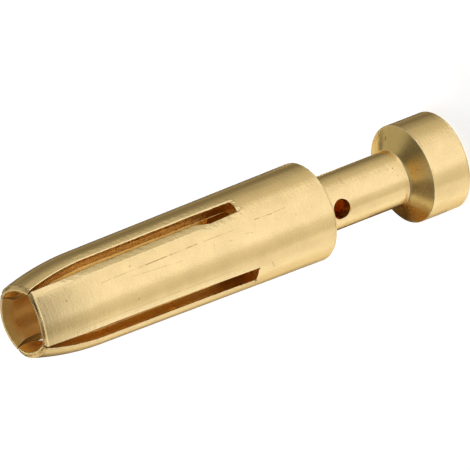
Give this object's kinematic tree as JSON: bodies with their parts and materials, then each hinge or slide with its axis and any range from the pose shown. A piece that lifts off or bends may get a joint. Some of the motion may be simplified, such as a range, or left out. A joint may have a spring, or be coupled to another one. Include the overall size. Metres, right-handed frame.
{
  "type": "crimp socket contact",
  "caption": "Turned crimp socket contact with slotted spring tines closed in at the mouth, a narrow crimp neck with an inspection hole and a rear flange.",
  "frame": {"origin": "centre of the flange's rear face", "axes": "+Z along the contact's axis from the rear flange to the socket mouth, -Y through the middle of the front tine"},
  "size_m": [0.004, 0.004, 0.0203],
  "materials": {
    "gold_plated_brass": "thin gold plating over turned brass, satin with fine turning marks"
  },
  "bodies": {
    "root": {"contact": "gold_plated_brass"}
  },
  "joints": []
}
